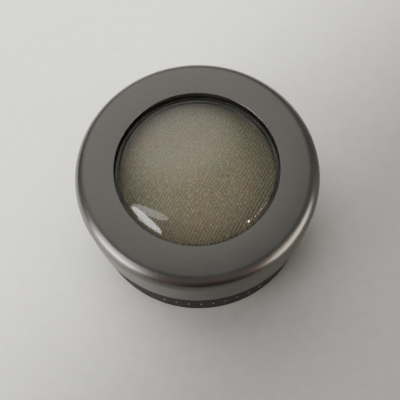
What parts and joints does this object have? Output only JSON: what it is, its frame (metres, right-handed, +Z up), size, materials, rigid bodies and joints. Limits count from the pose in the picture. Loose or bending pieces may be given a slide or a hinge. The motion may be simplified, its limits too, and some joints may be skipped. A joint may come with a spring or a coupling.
{
  "type": "cosmetic pot",
  "caption": "Round pot of baked pressed powder with a screw lid: a satin metal cap with a domed clear window on a threaded black base.",
  "frame": {"origin": "middle of the underside, on the surface that the pot stands on", "axes": "+Z up, along the axis of the pot and of its thread"},
  "size_m": [0.042, 0.042, 0.0224],
  "materials": {
    "satin_aluminium": "satin",
    "gasket_black": "matte",
    "clear_lens": "gloss",
    "liner_black": "satin",
    "seal_foam": "matte",
    "base_black": "satin",
    "insert_black": "satin",
    "collar_black": "satin",
    "taupe_powder": "pearl",
    "terracotta": "matte",
    "pad_adhesive": "matte",
    "label_white": "matte"
  },
  "bodies": {
    "base": {"base_cup": "base_black", "neck_insert": "insert_black", "powder_collar": "collar_black", "powder": "taupe_powder", "powder_tile": "terracotta", "tile_pad": "pad_adhesive", "base_label": "label_white"},
    "seal": {"seal_ring": "seal_foam"},
    "lid": {"lid_shell": "satin_aluminium", "window_gasket": "gasket_black", "window_lens": "clear_lens", "lid_liner": "liner_black"}
  },
  "joints": [
    {"name": "lid_lift", "type": "slide", "parent": "base", "child": "seal", "axis": [0, 0, 1], "range_m": [0, 0.0091]},
    {"name": "lid_turn", "type": "hinge", "parent": "seal", "child": "lid", "pos_m": [0, 0, 0.015], "axis": [0, 0, 1], "range_deg": [0, 1080]}
  ],
  "couplings": [
    {"joint": "lid_lift", "follows": "lid_turn", "m_per_rad": 0.00047746}
  ]
}
